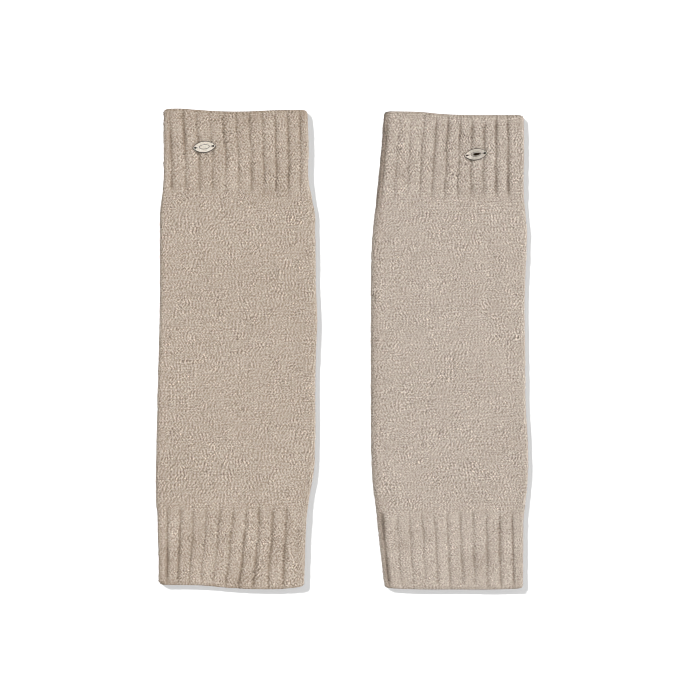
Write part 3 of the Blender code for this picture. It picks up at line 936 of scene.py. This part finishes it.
def bumped(tree, height, strength, distance_mm):
    """The normal of a surface with bumps of this height, too small to be in the mesh."""
    inputs = {"Height": height, "Strength": strength, "Distance": distance_mm * MM}
    return node(tree, "ShaderNodeBump", inputs).outputs["Normal"]


def noise(tree, place, size_mm, detail=2.0, roughness=0.5):
    """Noise from 0 to 1 whose features are about size_mm across."""
    inputs = {"Vector": place, "Scale": 1 / (size_mm * MM), "Detail": detail, "Roughness": roughness}
    return node(tree, "ShaderNodeTexNoise", inputs).outputs["Fac"]


def flecks(tree, place, size_mm):
    """A value from 0 to 1 for each of the cells, about size_mm across, that space is divided into."""
    cells = node(tree, "ShaderNodeTexVoronoi", {"Vector": place, "Scale": 1 / (size_mm * MM)})
    return node(tree, "ShaderNodeSeparateColor", {"Color": cells.outputs["Color"]}).outputs["Red"]


def added(tree, value, start, weight):
    """start + weight * (value - 0.5)."""
    return maths(tree, "MULTIPLY_ADD", maths(tree, "SUBTRACT", value, 0.5), weight, start)


def spread(tree, value, low, high, to_low=0.0, to_high=1.0):
    """A value's place between low and high, as the same share of the way from to_low to to_high."""
    limits = {"From Min": low, "From Max": high, "To Min": to_low, "To Max": to_high}
    return node(tree, "ShaderNodeMapRange", {"Value": value, **limits}).outputs[0]


def mixed(tree, factor, a, b):
    """Colour a at factor 0, and b at 1. The node's colour sockets are known only by their numbers."""
    return node(tree, "ShaderNodeMix", {0: factor, 6: a, 7: b}, data_type="RGBA").outputs[2]


def new_material(name):
    """A material with its node tree, Principled shader and Object coordinates.

    These are tilted, because noise is weaker on a level surface at a whole number of its cells.
    """
    made = bpy.data.materials.new(name)
    made.use_nodes = True
    tree = made.node_tree
    level = node(tree, "ShaderNodeTexCoord").outputs["Object"]
    tilted = node(tree, "ShaderNodeMapping", {"Vector": level, "Rotation": (0.65, 0.50, 0.20)})
    return made, tree, tree.nodes["Principled BSDF"], tilted.outputs[0]


def scaled(tree, colour, value):
    """A colour times a value."""
    return node(tree, "ShaderNodeVectorMath", {0: colour, "Scale": value}, operation="SCALE").outputs[0]


KnitTone = namedtuple("KnitTone", "pale warm cool")   # the palest yarn, and two tones of the darkest
LEFT_TONE = KnitTone((0.508, 0.443, 0.380, 1), (0.565, 0.428, 0.312, 1), (0.557, 0.436, 0.334, 1))
RIGHT_TONE = KnitTone((0.530, 0.469, 0.412, 1), (0.574, 0.457, 0.362, 1), (0.566, 0.465, 0.384, 1))


def knit_material(name, tone):
    """Brushed melange yarn: warm and cool fibres in soft patches, with painted light on the crests
    and painted shade in the gaps, grooves, ends and along a fold.
    """
    made, tree, shader, place = new_material(name)
    # The yarn's light and dark with its painted crest light and gap shade, and flecks the size of
    # tufts, in patches of more and less contrast.
    grain = added(tree, flecks(tree, place, 0.95), value_of(tree, "yarn"), 0.35)
    grain = added(tree, flecks(tree, place, 0.6), grain, 0.5)
    contrast = added(tree, noise(tree, place, 12.0, 1.0), 1.0, 1.6)
    value = maths(tree, "MULTIPLY_ADD", grain, contrast, 1.0)
    value = added(tree, noise(tree, place, 40.0), value, 0.10)
    value = maths(tree, "MAXIMUM", value, 0.25)
    # Painted shade of grooves, ends and the left fold darkens it, painted light on rib crowns pales it.
    value = maths(tree, "MULTIPLY", value, maths(tree, "SUBTRACT", 1.0, value_of(tree, "shade")))
    hue = mixed(tree, noise(tree, place, 9.0, 3.0, 0.65), tone.warm, tone.cool)
    hue = mixed(tree, spread(tree, value, 0.55, 1.25), hue, tone.pale)
    fine = added(tree, noise(tree, place, 0.35), noise(tree, place, 0.9), 0.6)
    set_inputs(tree, shader, {
        "Base Color": scaled(tree, hue, value),
        "Roughness": 0.95,
        "Specular IOR Level": 0.15,
        "Sheen Weight": 0.25,
        "Sheen Roughness": 0.45,
        "Sheen Tint": (0.95, 0.90, 0.84, 1),
        "Normal": bumped(tree, fine, 0.7, 0.25),
    })
    return made


def nap_material(name, tone):
    """Loose fibres of the same yarn, a little paler."""
    made, tree, shader, place = new_material(name)
    value = added(tree, noise(tree, place, 1.2, 1.0), 1.06, 0.5)
    hue = mixed(tree, noise(tree, place, 5.0, 1.0), tone.cool, tone.pale)
    hue = mixed(tree, 0.6, hue, tone.pale)
    set_inputs(tree, shader, {
        "Base Color": scaled(tree, hue, value),
        "Roughness": 0.85,
        "Specular IOR Level": 0.2,
        "Sheen Weight": 0.3,
    })
    return made


def thread_material():
    """Dark brown sewing thread."""
    made, tree, shader, place = new_material("plate_thread")
    tone = mixed(tree, noise(tree, place, 0.3, 1.0), (0.010, 0.007, 0.005, 1), (0.020, 0.015, 0.012, 1))
    set_inputs(tree, shader, {
        "Base Color": tone,
        "Roughness": 0.9,
        "Specular IOR Level": 0.1,
        "Normal": bumped(tree, noise(tree, place, 0.15, 1.0), 0.5, 0.05),
    })
    return made


def metal_material():
    """Champagne-coloured metal in two tones, with a faint grain, darkened by its painted shade and
    painted dark reflection.
    """
    made, tree, shader, place = new_material("plate_metal")
    patches = spread(tree, noise(tree, place, 1.3), 0.35, 0.65)
    tone = mixed(tree, patches, (1.0, 0.93, 0.83, 1), (0.80, 0.71, 0.60, 1))
    stretched = node(tree, "ShaderNodeMapping", {"Vector": place, "Scale": (0.08, 1.0, 1.0)}).outputs[0]
    set_inputs(tree, shader, {
        # near black where the painted shade and painted dark reflection are full
        "Base Color": mixed(tree, value_of(tree, "tarnish"), tone, (0.02, 0.012, 0.007, 1)),
        "Metallic": 1.0,
        "Roughness": added(tree, noise(tree, place, 1.5), 0.33, 0.12),
        "Normal": bumped(tree, noise(tree, stretched, 0.15, 1.0), 0.15, 0.03),
    })
    return made


# ---------------------------------------- studio

TABLE_HALF = 15000.0
TABLE_GAP = 0.3              # between it and the cloth's underside
BRIGHT_SIDE = (0.75, 0.25, 0.45)
FRAME_MIDDLE = (7.5, -0.94)  # of the photograph, and the width of its frame
FRAME_WIDTH = 656.25
VIEW_LEVEL = 4.0             # the height above the table at which the frame is that wide
PIXEL_FILTER = 0.85          # as sharp as the photograph


def light_only(light, name, *objects):
    """The light reaches these objects alone."""
    lit = bpy.data.collections.new(name)
    for one in objects:
        lit.objects.link(one)
    light.light_linking.receiver_collection = lit


def sun(name, towards, strength, softness):
    """A distant light that shines from the direction towards, softness degrees wide."""
    data = bpy.data.lights.new(name, "SUN")
    data.energy = strength
    data.angle = np.radians(softness)
    light = placed(name, data)
    x, y, z = unit(np.array(towards, float))
    light.rotation_euler = (np.arccos(z), 0.0, np.arctan2(y, x) + np.pi / 2)
    return light


def white_table():
    """A wide white table top just under the cloth."""
    made, tree, shader, place = new_material("table_white")
    tone = mixed(tree, noise(tree, place, 300.0, 1.0), (0.25, 0.25, 0.25, 1), (0.245, 0.245, 0.245, 1))
    set_inputs(tree, shader, {"Base Color": tone, "Roughness": 0.9, "Specular IOR Level": 0.0})
    corners = [(x * TABLE_HALF, y * TABLE_HALF, -TABLE_GAP)
               for x, y in ((-1, -1), (1, -1), (1, 1), (-1, 1))]
    mesh = new_mesh("table_top", np.array(corners), np.array([(0, 1, 2, 3)]))
    mesh.materials.append(made)
    table = placed("table_top", mesh)
    return table


def dome():
    """Soft light from all round: brighter from the right and from above than from the left."""
    world = bpy.data.worlds.new("studio")
    world.use_nodes = True
    tree = world.node_tree
    direction = node(tree, "ShaderNodeTexCoord").outputs["Generated"]
    bright = unit(np.array(BRIGHT_SIDE))
    towards = node(tree, "ShaderNodeVectorMath", {0: direction, 1: bright}, operation="DOT_PRODUCT")
    level = spread(tree, towards.outputs["Value"], -1.0, 1.0, 0.30)
    set_inputs(tree, tree.nodes["Background"], {"Strength": level, "Color": (1, 1, 1, 1)})
    bpy.context.scene.world = world


def camera():
    """Straight down, over the middle of the photograph's frame."""
    data = bpy.data.cameras.new("camera")
    data.lens = 100
    data.sensor_width = 36
    data.clip_end = 50
    eye = placed("camera", data)
    above = VIEW_LEVEL + FRAME_WIDTH * data.lens / data.sensor_width
    eye.location = np.array((*FRAME_MIDDLE, above)) * MM
    bpy.context.scene.camera = eye


def main():
    """The frame's solids are replaced by dressed pieces, set on the table, lit and looked at."""
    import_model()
    scene = bpy.context.scene
    scene.view_settings.view_transform = "Standard"
    scene.cycles.filter_width = PIXEL_FILTER
    metal, thread = metal_material(), thread_material()
    cloths, plates = [], []
    for side, warmer, tone in (("left", LEFT, LEFT_TONE), ("right", RIGHT, RIGHT_TONE)):
        knit = knit_material(f"{side}_knit_yarn", tone)
        fibres = nap_material(f"{side}_nap_fibres", tone)
        for part, low, high, count in STRETCHES:
            cloth = knit_stretch(f"{side}_{part}_knit", warmer, low, high, knit)
            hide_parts(f"{side}_{part}")
            fuzz = nap(f"{side}_{part}_nap", warmer, low, high, count, fibres)
            flat_size(warmer, low, high)
            cloths += [cloth, fuzz]
        name = f"{side}_plate_metal"
        plate = new_piece(name, plate_mesh(name, warmer.plate), metal)
        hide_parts(f"{side}_plate")
        plates += [plate, knots(f"{side}_plate_knots", warmer.plate, thread)]
    table = white_table()
    dome()
    light_only(sun("sun_on_table", (-0.90, 0.84, 1.0), 10.1, 2.0), "table in the sun", table)
    fill = sun("fill_on_table", (0.0, 0.0, 1.0), 6.0, 2.0)
    fill.data.use_shadow = False
    light_only(fill, "table filled", table)
    light_only(sun("key_on_cloth", (0.40, 0.25, 0.85), 1.2, 25.0), "cloth alone", *cloths)
    light_only(sun("glint_on_plates", (0.35, 0.30, 0.85), 0.30, 12.0), "plates alone", *plates)
    camera()


main()
